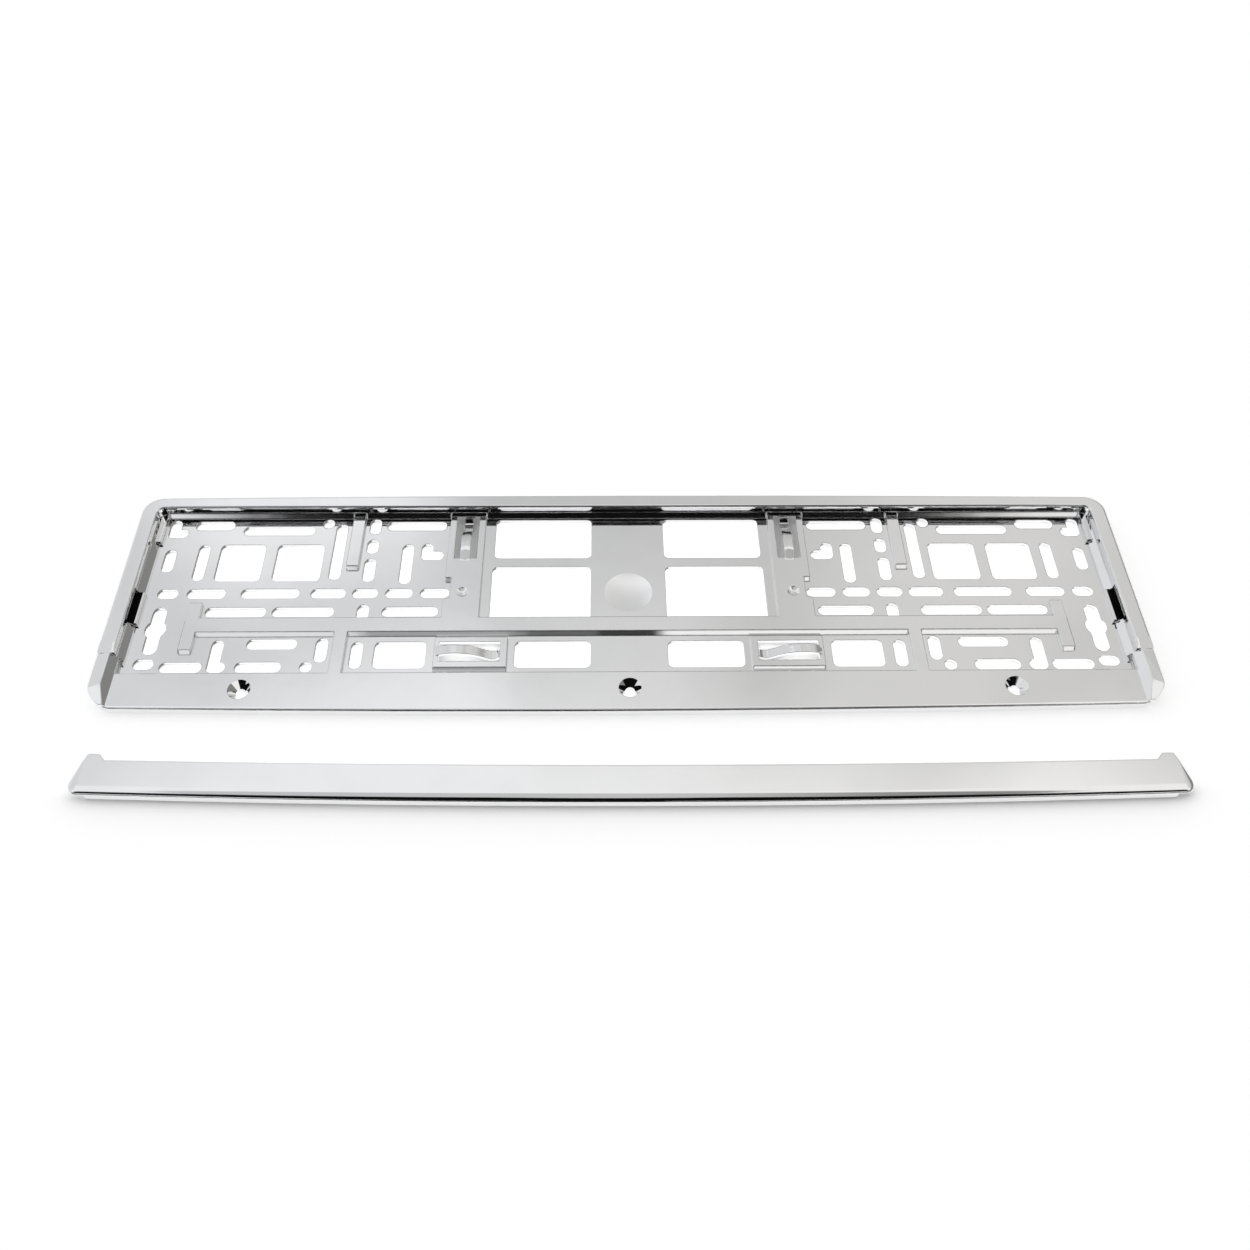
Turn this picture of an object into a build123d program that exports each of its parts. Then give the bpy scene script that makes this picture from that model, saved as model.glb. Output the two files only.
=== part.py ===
"""Number plate holder: a chromed, slotted base frame and its clip-on cover strip, lying apart.

Millimetres. X runs along the number plate, Y up the plate and Z out of its face.
The origin is the axis of the middle screw hole, on the back plane that meets the car.
"""

import os
from math import cos, radians, sin, sqrt

from build123d import *

os.makedirs("parts", exist_ok=True)

# Outline of the base frame
frame_length = 542.2
frame_height = 140.1
corner_radius = 11.0
low_corner_radius = 13.0
top_bow = 1.8
bottom_bow = 3.0
screw_line = 13.7

# Levels above the back plane, and the moulded wall
floor_level = 2.8
rib_level = 5.2
rim_level = 11.2
wall = 1.6

# Raised rim
side_rim = 8.8
top_rim = 8.3
rim_round = 1.5
slope_run = 2.8
slope_rise = 3.6
pocket_radius = 4.0
foot_bevel = 2.4
corner_ledge = 4.0
corner_ledge_low = 97.2

# Lower and narrower rim beside the bottom band, where the strip's ends lie, and the band's front edge
low_rim = 6.3
low_rim_start = 19.6
low_rim_ramp = 6.0
low_rim_foot = 1.2
low_rim_drop = 0.8
low_slope_end = -9.5
apron_width = 1.6
apron_drop = 0.25
front_round = 1.0

# Lip that holds the plate's upper edge, and the latch windows in the side rims
lip_thickness = 1.9
lip_round = 0.8
lip_overhang = 1.0
lip_groove = 3.6
latch_length = 20.5
latch_middle = 51.6
latch_height = 4.2
latch_ledge = 4.0

# Raised ribs on the floor
band_top = 9.7
cross_rib_low = 35.8
cross_rib_width = 8.8
rib_slope = 2.2
tall_rib_place = 150.6
tall_rib_width = 6.6
tall_rib_end = 80.0
end_rib_place = 229.8
end_rib_width = 6.6
end_rib_low = 24.7
end_rib_high = 54.6

# Spring leaves and the raised panels that carry them
leaf_thickness = 1.5
leaf_width = 5.3
leaf_rise = 2.2
leaf_dip = 3.4
low_panel = (63.4, 101.1, 13.0, 31.7)
low_window = (67.0, 98.5, 16.6, 28.7)
high_panel_inner = 79.5
high_panel_outer = 99.2
high_panel_notch = (57.4, 71.6)
high_panel_narrow = 95.8
high_window = (83.0, 95.6, 84.9, 115.0)
pin_mark_place = (89.2, 61.3)
pin_mark_radius = 3.3
pin_mark_depth = 0.8

# Openings of the floor, each as nearest and furthest from mid length, then lowest and highest
slot_width = 6.4
window_radius = 3.0
windows = [
    (20.2, 73.7, 86.5, 114.4),
    (20.4, 74.2, 44.6, 80.5),
    (20.2, 59.7, 13.7, 30.4),
    (105.7, 132.5, 13.7, 30.4),
    (167.9, 193.7, 70.9, 96.7),
    (200.2, 225.0, 70.9, 96.7),
]

# Slots along the plate: middle line, then the two ends of each slot
level_slots = [
    (110.5, [(220.5, 242.2)]),
    (110.1, [(101.6, 135.0)]),
    (106.7, [(175.0, 214.9)]),
    (62.4, [(96.6, 112.3), (116.3, 131.0), (134.9, 148.7), (152.2, 170.9)]),
    (62.4, [(177.0, 208.3), (216.4, 237.2), (241.7, 252.9)]),
    (50.0, [(101.6, 131.5), (156.8, 189.6), (192.7, 225.0)]),
    (29.2, [(173.0, 199.2)]),
    (16.8, [(244.3, 254.9)]),
    (14.8, [(179.0, 202.8), (219.5, 241.2)]),
]

# Slots up the plate: middle line, then the two ends of each slot
upright_slots = [
    (121.6, [(68.8, 96.7)]),
    (141.5, [(13.7, 30.4), (44.6, 54.7), (70.4, 86.5), (90.1, 100.2), (104.2, 115.2)]),
    (160.0, [(17.8, 32.9), (71.9, 111.3)]),
    (233.9, [(71.4, 96.7)]),
    (251.8, [(77.4, 93.1)]),
]

# Angle slots: corner across and up, then the length of the upright leg and of the leg towards mid length
angle_slots = [
    (253.3, 104.9, 12.7, 11.1),
    (111.0, 88.6, 11.8, 12.4),
    (213.9, 14.8, 20.2, 9.6),
]
round_holes = [(168.0, 111.8), (166.4, 14.8)]
round_hole_radius = 3.2
keyhole_place = 248.5
keyhole_ends = (22.8, 53.2)
keyhole_width = 7.5
keyhole_eye = 39.0
keyhole_eye_radius = 5.6

# Shallow round dish in the middle of the floor
dish_middle = 62.7
dish_radius = 13.0
dish_depth = 1.0

# Screw holes in the bottom band
screw_pitch = 196.9
screw_radius = 2.5
screw_head_radius = 5.8
boss_radius = 7.5

# Cover strip, in its own outline, and where it lies on the table
strip_end_gap = 1.6
strip_depth = 19.6
strip_front_bow = 4.7
strip_back_bow = 3.0
strip_height = 5.0
strip_wall = 1.8
strip_round = 2.7
strip_edge_round = 0.6
strip_corner = 5.5
strip_end_lean = 5.6
strip_end_height = 10.9
ear_width = 5.6
ear_rise = 3.5
ear_slope = 3.2
strip_gap = 50.0
strip_shift = 1.3
strip_turn = -0.3
strip_clearance = 0.4

half_length = frame_length / 2
top_edge = frame_height - screw_line
side_wall = half_length - side_rim
top_wall = top_edge - top_rim
low_wall = half_length - low_rim
slope_foot = side_wall - slope_run
slope_ratio = slope_rise / slope_run
low_level = floor_level + (low_wall - slope_foot) * slope_ratio
band_end = slope_foot + (rib_level - floor_level) / slope_ratio
floor_under = floor_level - wall
rib_under = rib_level - wall
lip_edge = top_wall - lip_overhang
lip_under = rim_level - lip_thickness
strip_length = frame_length - 2 * strip_end_gap
skirt_end = band_end - strip_clearance


def box_sketch(near, far, low, high, radius=0.0, mode=Mode.ADD):
    """A rectangle in the open sketch, from its four sides."""
    with Locations(((near + far) / 2, (low + high) / 2)):
        if radius > 0:
            RectangleRounded(far - near, high - low, radius, mode=mode)
        else:
            Rectangle(far - near, high - low, mode=mode)


def frame_outline(inset=0.0):
    """The outline of the base frame, bowed along its top and bottom edges, drawn in by inset."""
    edge = half_length - inset
    low_end = bottom_bow - screw_line + inset
    high_end = top_edge - top_bow - inset
    with BuildSketch() as outline:
        with BuildLine():
            Line((-edge, low_end), (-edge, high_end))
            ThreePointArc((-edge, high_end), (0, top_edge - inset), (edge, high_end))
            Line((edge, high_end), (edge, low_end))
            ThreePointArc((edge, low_end), (0, inset - screw_line), (-edge, low_end))
        make_face()
        corners = outline.vertices().sort_by(Axis.Y)
        fillet(corners[:2], low_corner_radius - inset)
        fillet(outline.vertices().sort_by(Axis.Y)[-2:], corner_radius - inset)
    return outline.sketch


def raised_outline(inset=0.0):
    """The ribs and spring panels that stand on the floor, drawn in by inset."""
    half_rib = tall_rib_width / 2 - inset
    half_end = end_rib_width / 2 - inset
    near, far, low, high = low_panel
    with BuildSketch() as raised:
        tall_ribs = [(band_top - wall, cross_rib_low + wall), (tall_rib_end + inset, top_wall + inset)]
        for start, end in tall_ribs:
            box_sketch(tall_rib_place - half_rib, tall_rib_place + half_rib, start, end)
        end_near = end_rib_place - half_end
        end_far = end_rib_place + half_end
        box_sketch(end_near, end_far, end_rib_low + inset, end_rib_high - inset)
        box_sketch(0, end_rib_place, cross_rib_low + inset, cross_rib_low + cross_rib_width - inset)
        box_sketch(near + inset, far - inset, low + inset, high - inset)
        inner = high_panel_inner + inset
        notch_low, notch_high = high_panel_notch
        box_sketch(inner, high_panel_outer - inset, notch_high + inset, top_wall + inset)
        box_sketch(inner, high_panel_narrow - inset, notch_low - 2 * wall, notch_high + 2 * wall)
        box_sketch(inner, high_panel_outer - inset, cross_rib_low + wall, notch_low - inset)
        mirror(about=Plane.YZ)
    return raised.sketch


def leaf_line(start, end):
    """Side view of a spring leaf: out of one edge, over an arch, through a dip and up to the other edge."""
    rest = rib_level - wall / 2
    span = end - start
    Spline(
        (start, rest),
        (start + 0.34 * span, rest + leaf_rise),
        (start + 0.60 * span, rest),
        (start + 0.82 * span, rest - leaf_dip),
        (end, rest),
    )


outer_outline = frame_outline()
back_outline = frame_outline(wall)
ribs = raised_outline()
rib_hollows = raised_outline(wall)

# Rim round both ends and the top, lower beside the bottom band and running out at its corners
with BuildPart() as rim:
    with BuildSketch():
        add(outer_outline)
    extrude(amount=rim_level)
    fillet(rim.faces().sort_by(Axis.Z)[-1].edges(), rim_round)
    with BuildSketch():
        box_sketch(-side_wall, side_wall, low_rim_start - pocket_radius, lip_edge, pocket_radius)
    extrude(amount=rim_level, mode=Mode.SUBTRACT)
    fillet(rim.faces().sort_by(Axis.Z)[-1].inner_wires()[0].edges(), lip_round)
    with BuildSketch():
        box_sketch(-low_wall, low_wall, -frame_height, low_rim_start)
    extrude(amount=rim_level, mode=Mode.SUBTRACT)
    for side in (-1, 1):
        with BuildSketch(Plane.XZ.offset(-low_rim_start)):
            with BuildLine():
                Polyline(
                    (side * slope_foot, floor_level),
                    (side * low_wall, floor_level),
                    (side * low_wall, low_level),
                    close=True,
                )
            make_face()
        extrude(amount=low_rim_start - low_slope_end)
        with BuildSketch(Plane.XZ.offset(-low_rim_start)):
            with BuildLine():
                Polyline(
                    (side * low_wall, low_level),
                    (side * half_length, low_level - low_rim_drop),
                    (side * half_length, rim_level),
                    (side * low_wall, rim_level),
                    close=True,
                )
            make_face()
        extrude(amount=low_rim_start + screw_line, mode=Mode.SUBTRACT)
    with BuildSketch(Plane.YZ):
        with BuildLine():
            Polyline(
                (low_rim_start, low_level),
                (low_rim_start + low_rim_ramp, rim_level),
                (low_rim_start, rim_level),
                close=True,
            )
        make_face()
        with BuildLine():
            Polyline(
                (low_rim_foot, low_level),
                (-screw_line, rib_level),
                (-screw_line, rim_level),
                (low_rim_foot, rim_level),
                close=True,
            )
        make_face()
    extrude(amount=half_length, both=True, mode=Mode.SUBTRACT)

with BuildPart() as base_frame:
    # Slab up to the level of the ribs, rounded where the bottom edge rolls down to the car
    with BuildSketch():
        add(outer_outline)
    extrude(amount=rib_level)
    band_face = base_frame.faces().sort_by(Axis.Z)[-1]
    chamfer(band_face.edges(), apron_width, apron_drop, reference=band_face)
    apron_level = rib_level - apron_drop
    fillet(base_frame.edges().filter_by_position(Axis.Z, apron_level, apron_level), front_round)
    add(rim.part)

    # Slotted floor, sunk below the ribs, the spring panels and the bottom band
    with BuildSketch(Plane.XY.offset(floor_level)):
        box_sketch(-side_wall, side_wall, band_top, top_wall)
        add(ribs, mode=Mode.SUBTRACT)
    extrude(amount=rib_level - floor_level, mode=Mode.SUBTRACT)

    # Sloping feet of the top wall and the side walls
    with BuildSketch(Plane.YZ.offset(-side_wall)):
        with BuildLine():
            Polyline(
                (top_wall, floor_level),
                (top_wall - foot_bevel, floor_level),
                (top_wall, floor_level + foot_bevel),
                close=True,
            )
        make_face()
    extrude(amount=2 * side_wall)
    for side in (-1, 1):
        with BuildSketch(Plane.XZ.offset(-top_wall)):
            with BuildLine():
                Polyline(
                    (side * slope_foot, floor_level),
                    (side * side_wall, floor_level),
                    (side * side_wall, floor_level + slope_rise),
                    close=True,
                )
            make_face()
        extrude(amount=top_wall - low_rim_start)

    # Sloping front faces of the cross rib, the spring panels and the ends of the ribs
    near, far, low, high = low_panel
    half_rib = tall_rib_width / 2
    half_end = end_rib_width / 2
    sloped = [
        (near, far, low),
        (high_panel_narrow, high_panel_outer, high_panel_notch[1]),
        (tall_rib_place - half_rib, tall_rib_place + half_rib, tall_rib_end),
        (end_rib_place - half_end, end_rib_place + half_end, end_rib_low),
    ]
    sloped += [(-end, -start, edge) for start, end, edge in sloped]
    for start, end, edge in sloped + [(-end_rib_place, end_rib_place, cross_rib_low)]:
        with BuildSketch(Plane.YZ.offset(start)):
            with BuildLine():
                Polyline((edge, floor_level), (edge - rib_slope, floor_level), (edge, rib_level), close=True)
            make_face()
        extrude(amount=end - start)

    # Ledges in the two upper corners of the floor
    with BuildSketch(Plane.XY.offset(floor_level)):
        box_sketch(side_wall - corner_ledge, side_wall, corner_ledge_low, top_wall)
        mirror(about=Plane.YZ)
    extrude(amount=rib_level - floor_level)

    # Groove under the top lip, and the latch windows with their ledges
    groove_end = side_wall - pocket_radius
    with BuildSketch(Plane.XY.offset(rib_level)):
        box_sketch(-groove_end, groove_end, lip_edge - wall, top_wall + lip_groove)
    extrude(amount=lip_under - rib_level, mode=Mode.SUBTRACT)
    latch_low = latch_middle - latch_length / 2
    latch_high = latch_middle + latch_length / 2
    with BuildSketch(Plane.XY.offset(floor_level)):
        box_sketch(side_wall - latch_ledge, side_wall, latch_low, latch_high)
        mirror(about=Plane.YZ)
    extrude(amount=rib_level - floor_level)
    with BuildSketch(Plane.XY.offset(rib_level)):
        box_sketch(slope_foot, side_wall + 2 * wall, latch_low, latch_high)
        mirror(about=Plane.YZ)
    extrude(amount=latch_height, mode=Mode.SUBTRACT)

    # Hollow back: under the floor, the top rim, the bottom band, the ribs and the side rims
    with BuildSketch():
        add(back_outline)
    extrude(amount=floor_under, mode=Mode.SUBTRACT)
    with BuildSketch():
        add(back_outline)
        box_sketch(-side_wall, side_wall, top_wall + wall / 2, frame_height, mode=Mode.INTERSECT)
    extrude(amount=rib_under, mode=Mode.SUBTRACT)
    with BuildSketch():
        add(back_outline)
        box_sketch(-low_wall + wall, low_wall - wall, -frame_height, band_top - wall, mode=Mode.INTERSECT)
    extrude(amount=rib_under, mode=Mode.SUBTRACT)
    with BuildSketch():
        add(rib_hollows)
    extrude(amount=rib_under, mode=Mode.SUBTRACT)
    with BuildSketch():
        hollow_start = low_rim_start + low_rim_ramp + wall
        box_sketch(side_wall + wall, half_length - wall, hollow_start, top_edge - corner_radius)
        mirror(about=Plane.YZ)
    extrude(amount=rim_level - wall, mode=Mode.SUBTRACT)

    # Round pin marks sunk in the high spring panels
    pin_mark_sphere = (pin_mark_radius**2 + pin_mark_depth**2) / (2 * pin_mark_depth)
    mark_x, mark_y = pin_mark_place
    with Locations(*[(x, mark_y, rib_level - pin_mark_depth + pin_mark_sphere) for x in (-mark_x, mark_x)]):
        Sphere(pin_mark_sphere, mode=Mode.SUBTRACT)

    # Slots, windows and spring windows right through the floor
    with BuildSketch():
        for near, far, low, high in windows:
            box_sketch(near, far, low, high, window_radius)
        for near, far, low, high in (low_window, high_window):
            box_sketch(near, far, low, high)
        for middle, ends in level_slots:
            for near, far in ends:
                with Locations(((near + far) / 2, middle)):
                    SlotOverall(far - near, slot_width)
        for middle, ends in upright_slots:
            for low, high in ends:
                with Locations((middle, (low + high) / 2)):
                    SlotOverall(high - low, slot_width, rotation=90)
        for corner, line, upright_leg, level_leg in angle_slots:
            reach = slot_width / 2
            with Locations((corner, line - reach + upright_leg / 2)):
                SlotOverall(upright_leg, slot_width, rotation=90)
            with Locations((corner + reach - level_leg / 2, line)):
                SlotOverall(level_leg, slot_width)
        with Locations(*round_holes):
            Circle(round_hole_radius)
        with Locations((keyhole_place, sum(keyhole_ends) / 2)):
            SlotOverall(keyhole_ends[1] - keyhole_ends[0], keyhole_width, rotation=90)
        with Locations((keyhole_place, keyhole_eye)):
            Circle(keyhole_eye_radius)
        mirror(about=Plane.YZ)
    extrude(amount=rib_level, mode=Mode.SUBTRACT)

    # Spring leaves: two along the plate at the bottom, two up the plate at the top
    low_leaf_line = (low_window[2] + low_window[3]) / 2
    high_leaf_line = (high_window[0] + high_window[1]) / 2
    for side in (-1, 1):
        with BuildSketch(Plane.XZ.offset(-low_leaf_line)):
            with BuildLine() as low_leaf:
                leaf_line(side * (low_window[1] + wall), side * (low_window[0] - wall))
            trace(low_leaf.line, leaf_thickness)
        extrude(amount=leaf_width / 2, both=True)
        with BuildSketch(Plane.YZ.offset(side * high_leaf_line)):
            with BuildLine() as high_leaf:
                leaf_line(high_window[2] - wall, high_window[3] + wall)
            trace(high_leaf.line, leaf_thickness)
        extrude(amount=leaf_width / 2, both=True)

    # Shallow dish in the middle of the floor, which bulges to the back
    dish_sphere = (dish_radius**2 + dish_depth**2) / (2 * dish_depth)
    bulge_sphere = dish_sphere + wall
    dish_bottom = floor_level - dish_depth
    bulge_radius = sqrt(bulge_sphere**2 - (dish_bottom + dish_sphere - floor_under) ** 2)
    dish_axis = Axis((0, dish_middle, 0), (0, 0, 1))
    with BuildSketch(Plane.XZ.offset(-dish_middle)):
        with BuildLine():
            Line((0, floor_level), (0, dish_bottom - wall))
            RadiusArc((0, dish_bottom - wall), (bulge_radius, floor_under), -bulge_sphere)
            Polyline((bulge_radius, floor_under), (bulge_radius, floor_level), (0, floor_level))
        make_face()
    revolve(axis=dish_axis)
    with BuildSketch(Plane.XZ.offset(-dish_middle)):
        with BuildLine():
            RadiusArc((0, dish_bottom), (dish_radius, floor_level), -dish_sphere)
            Polyline((dish_radius, floor_level), (0, floor_level), (0, dish_bottom))
        make_face()
    revolve(axis=dish_axis, mode=Mode.SUBTRACT)

    # Countersunk screw holes, each in a boss that stands on the car
    screws = [(-screw_pitch, 0), (0, 0), (screw_pitch, 0)]
    with BuildSketch():
        with Locations(*screws):
            Circle(boss_radius)
    extrude(amount=rib_level - wall / 2)
    with Locations(*[(x, y, rib_level) for x, y in screws]):
        CounterSinkHole(screw_radius, screw_head_radius, rib_level)

base_frame.part.label = "base_frame"
export_step(base_frame.part, "parts/base_frame.step")


def strip_outline(inset=0.0):
    """The cover strip's outline, drawn in by inset, from the middle of its front edge."""
    end = strip_length / 2 - inset
    back = strip_depth + strip_back_bow - inset
    ear_outer = end - strip_end_lean
    ear_inner = ear_outer - ear_width + 2 * inset
    ear_foot = ear_inner - ear_slope
    right_end = [
        (end, strip_front_bow + inset),
        (end, strip_end_height),
        (ear_outer, back + ear_rise),
        (ear_inner, back + ear_rise),
        (ear_foot, back),
    ]
    left_end = [(-x, y) for x, y in right_end]
    with BuildSketch() as outline:
        with BuildLine():
            Polyline(*right_end)
            Polyline(*left_end)
            ThreePointArc(left_end[0], (0, inset), right_end[0])
            ThreePointArc(left_end[-1], (0, strip_depth - inset), right_end[-1])
        make_face()
        fillet(outline.vertices().sort_by(Axis.Y)[:2], strip_corner - inset)
    return outline.sketch


strip_face = strip_outline()
strip_hollow = strip_outline(strip_wall)
strip_place = Plane(
    origin=(strip_shift, -screw_line - strip_gap, 0),
    x_dir=(cos(radians(strip_turn)), sin(radians(strip_turn)), 0),
    z_dir=(0, 0, 1),
)

with BuildPart() as cover_strip:
    # Channel open at the back, rolled over along its front edge
    with BuildSketch(strip_place):
        add(strip_face)
    extrude(amount=strip_height)
    top_edges = cover_strip.faces().sort_by(Axis.Z)[-1].edges()
    fillet(top_edges.sort_by(Axis.Y)[:3], strip_round)
    fillet(cover_strip.faces().sort_by(Axis.Z)[-1].edges().sort_by(SortBy.LENGTH)[-2], strip_edge_round)
    with BuildSketch(strip_place):
        add(strip_hollow)
        box_sketch(-skirt_end + strip_wall, skirt_end - strip_wall, 0, frame_height, mode=Mode.INTERSECT)
    extrude(amount=strip_height - strip_wall, mode=Mode.SUBTRACT)

    # Thin ends that lie on the lower rim beside the bottom band
    with BuildSketch(strip_place):
        box_sketch(skirt_end, frame_length, -frame_height, frame_height)
        mirror(about=Plane.YZ)
    extrude(amount=strip_height - strip_wall, mode=Mode.SUBTRACT)

cover_strip.part.label = "cover_strip"
export_step(cover_strip.part, "parts/cover_strip.step")
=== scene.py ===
"""Chromed number plate holder and its loose cover strip on a white table, seen from the front and above.

Lengths are in metres and angles in degrees. The two limits of a zone are where it begins to show and where
it shows in full, or the two ends of the zone if they are called a span. Pairs of levels are called that.
"""

from math import cos, pi, radians, sin, sqrt

import bpy
from mathutils import Matrix, Vector


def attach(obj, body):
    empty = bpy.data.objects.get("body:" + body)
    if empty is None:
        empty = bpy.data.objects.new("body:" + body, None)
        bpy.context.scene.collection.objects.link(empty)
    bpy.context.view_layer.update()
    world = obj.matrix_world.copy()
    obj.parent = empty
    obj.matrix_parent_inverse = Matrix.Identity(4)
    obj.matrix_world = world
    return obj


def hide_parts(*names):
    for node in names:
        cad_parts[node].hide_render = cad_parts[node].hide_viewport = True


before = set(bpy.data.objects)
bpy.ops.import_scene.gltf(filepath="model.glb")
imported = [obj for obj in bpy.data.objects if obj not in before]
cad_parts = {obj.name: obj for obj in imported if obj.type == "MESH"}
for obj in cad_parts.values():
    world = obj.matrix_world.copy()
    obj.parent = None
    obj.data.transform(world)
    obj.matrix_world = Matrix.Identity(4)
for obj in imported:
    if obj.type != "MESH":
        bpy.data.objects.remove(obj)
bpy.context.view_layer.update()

# Camera, and its focal length in pixels of the square picture
CAMERA_PLACE = Vector((-0.0118, -0.3040, 0.4775))
CAMERA_DOWN = 54.0
CAMERA_YAW = -1.62
CAMERA_ROLL = 1.09
CAMERA_NEAR = 0.01
PICTURE_WIDTH = 1250
FOCAL_PIXELS = 1109
SENSOR_WIDTH = 36.0

# Cover strip, from the middle of its front edge: half outline with its ear
STRIP_END = 0.2695
STRIP_FRONT_BOW = 0.0047
STRIP_DEPTH = 0.0196
STRIP_BACK_BOW = 0.0030
STRIP_CORNER = 0.0055
STRIP_END_LINE = 0.0109
EAR_OUTER = 0.2639
EAR_INNER = 0.2583
EAR_FOOT = 0.2551
EAR_TOP = 0.0261

# Cover strip: height, wall, rolled upper edge, fine edge where there is no roll, and hollow
STRIP_HEIGHT = 0.0050
STRIP_WALL = 0.0018
STRIP_ROLL = 0.0045
STRIP_DROP = 0.0018
STRIP_EDGE = 0.0005
SKIRT_END = 0.2610
END_CUT = 0.1

# Cover strip: place on the table, and the fineness of its mesh
STRIP_PLACE = Vector((0.0013, -0.06369, 0.0))
STRIP_TURN = -0.3
STRIP_STEP = 0.0028
ROLL_STEPS = 16
THINNING_STEPS = 6
THIN_STEPS = 3
EAR_STEPS = 4
CORNER_LIMIT = 0.5
STRIP_SHARP = 30.0

# Frame's shading: corners that are joined, edges that stay sharp, and how far large faces lead
WELD_REACH = 0.00001
SMOOTH_ANGLE = 28.0
LARGE_FACES = 100

# Chrome: reflectance, levels of blur in clean and smudged places, and slow waves
CHROME_TINT = (0.90, 0.90, 0.905, 1.0)
CHROME_SMUDGE = (0.87, 0.873, 0.878, 1.0)
POLISHED = (0.025, 0.06)
FRAME_WAVES = 0.12
STRIP_WAVES = 0.05
WAVE_DEPTH = 0.0004

# Noise patterns, as scale and detail, and the part of the pattern that shows as smudges
SMUDGE_NOISE = (45.0, 4.0)
SMUDGE_FADE = (0.35, 0.85)
WAVE_NOISE = (60.0, 1.0)
GRAIN_NOISE = (1500.0, 2.0)

# Softness of the edge between a feature of the frame and what is round it
SOFT = 0.0002
SOFT_FINE = 0.0001
SOFT_FINEST = 0.00005

# Rounding of the edges: everywhere, on slopes that face the camera, and on the rim
EDGE_RADIUS = 0.0007
EDGE_SAMPLES = 6
FLAT_UPWARD = (0.9985, 0.9995)
SLOPE_RADIUS = 0.0013
SLOPE_TOP = (0.0056, 0.0054)
SLOPE_FORWARD = (-0.5, -0.6)
SLOPE_UPWARD = (0.4, 0.5)
RIM_RADIUS = 0.0016
RIM_FOOT = (0.0097, 0.0101)

# Satin floor: levels of blur in clean and smudged places, and grain; softer bevel at the top wall's foot
SATIN = (0.035, 0.06)
SATIN_TOP = (0.0059, 0.0053)
SATIN_UPWARD = (0.97, 0.99)
GRAIN = 0.15
GRAIN_DEPTH = 0.00004
BEVEL_BLUR = 0.09
BEVEL_SPAN = (0.1120, 0.1235)

# Bowls pressed into the floor, as middle, radius of the sphere and radius of the rim
DISH = ((0.0, 0.0627), 0.0850, 0.0130)
DISH_UPWARD = (0.9, 0.95)
DISH_BLUR = 0.22
# Dish's chrome painted lighter than the rest: painted light
DISH_PAINTED_LIGHT = (0.985, 0.985, 0.99, 1.0)
PIN_MARKS = tuple(((side * 0.0892, 0.0613), 0.0072, 0.0033) for side in (-1, 1))
PIN_UPWARD = (0.6, 0.7)

# Cones of the screw holes: middles, radii, how far their faces look up, and lean of their normals
SCREW_PITCH = 0.1969
SCREWS = tuple((side * SCREW_PITCH, 0.0) for side in (-1, 0, 1))
CONE_SPAN = (0.0025, 0.0058)
CONE_UPWARD_SPAN = (0.3, 0.9)
CONE_SOFT = 0.05
CONE_LEAN = 49.0

# Rounding of the rim's inner edge at the top wall, and its slope at the very edge
LIP_SPAN = (0.1171, 0.1188)
LIP_REACH = (0.2590, 0.2550)
LIP_FOOT = (0.0106, 0.0108)
LIP_UPWARD = (0.9, 0.95)
LIP_SLOPE = -0.75

# Ramp from the rim down to its low ends, which is shaded level
RAMP_REACH = (0.2640, 0.2642)
RAMP_SPAN = (0.0190, 0.0262)
RAMP_FOOT = (0.0088, 0.0090)
RAMP_UPWARD = (0.7, 0.8)

# Painted shade in the catch pockets of the side walls: across, along and up
LATCH_ACROSS_SPAN = (0.2594, 0.2700)
LATCH_ALONG_SPAN = (0.0413, 0.0619)
LATCH_UP_SPAN = (0.0050, 0.0095)
LATCH_PAINTED_SHADE = (0.008, 0.008, 0.008, 1.0)
LATCH_BLUR = 0.6

# Painted shade on the end walls of the slots, below the floor's face
SLOT_TOP = (0.0028, 0.0027)
SLOT_REACH = (0.2600, 0.2598)
SLOT_SPAN = (0.0090, 0.1180)
SLOT_SIDEWAYS = (0.25, 0.55)
SLOT_UPWARD = (0.5, 0.3)
SLOT_PAINTED_SHADE = (0.20, 0.20, 0.19, 1.0)
SLOT_BLUR = 0.35

# Table: size, height and colour
TABLE_SIZE = 6.0
TABLE_LEVEL = -0.00005
TABLE_COLOUR = (0.86, 0.86, 0.86, 1.0)

# Table's glow: in the open, brighter inside the frame's outline as painted light, and dimmer under the upper
# spring leaves as painted shade
TABLE_GLOW = 0.60
FRAME_PAINTED_LIGHT = 0.75
FRAME_END = (0.268, 0.262)
FRAME_SPAN = (-0.009, 0.119)
FRAME_SOFT = 0.003
LEAF_PAINTED_SHADE = 0.12
LEAF_ACROSS_SPAN = (0.0800, 0.0985)
LEAF_ALONG_SPAN = (0.082, 0.124)
LEAF_SOFT = 0.0005

# Object's shade on the table, by how much of the sky a point sees, and with a longer tail before the strip
SHADE_REACH = 0.03
SHADE_SAMPLES = 8
SHADE_FADE = (0.12, 0.35)
SHADE_POWER = 3.0
STRIP_FRONT = (-0.052, -0.060)

# Room: brightness of its zones; levels go from low to high in the centre, from left to right at the top
ROOM_CENTRE = (0.585, 0.72)
ROOM_MIDDLE = 0.60
ROOM_RIGHT = 0.70
ROOM_FAR = 0.645
ROOM_FAR_LEFT = 0.73
ROOM_WINDOW = 0.92
ROOM_LOW = 0.50
ROOM_HIGH = 0.93
ROOM_TOP = (0.58, 0.28)
ROOM_DIM_SIDE = 0.24
ROOM_BRIGHT_SIDE = 0.80
ROOM_DARK = 0.004
ROOM_SILL = 0.05
ROOM_LAMP = 0.9
WHITE = (1.0, 1.0, 1.0, 1.0)
COOL = (0.975, 0.985, 1.0, 1.0)
WARM = (1.0, 0.992, 0.972, 1.0)

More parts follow.
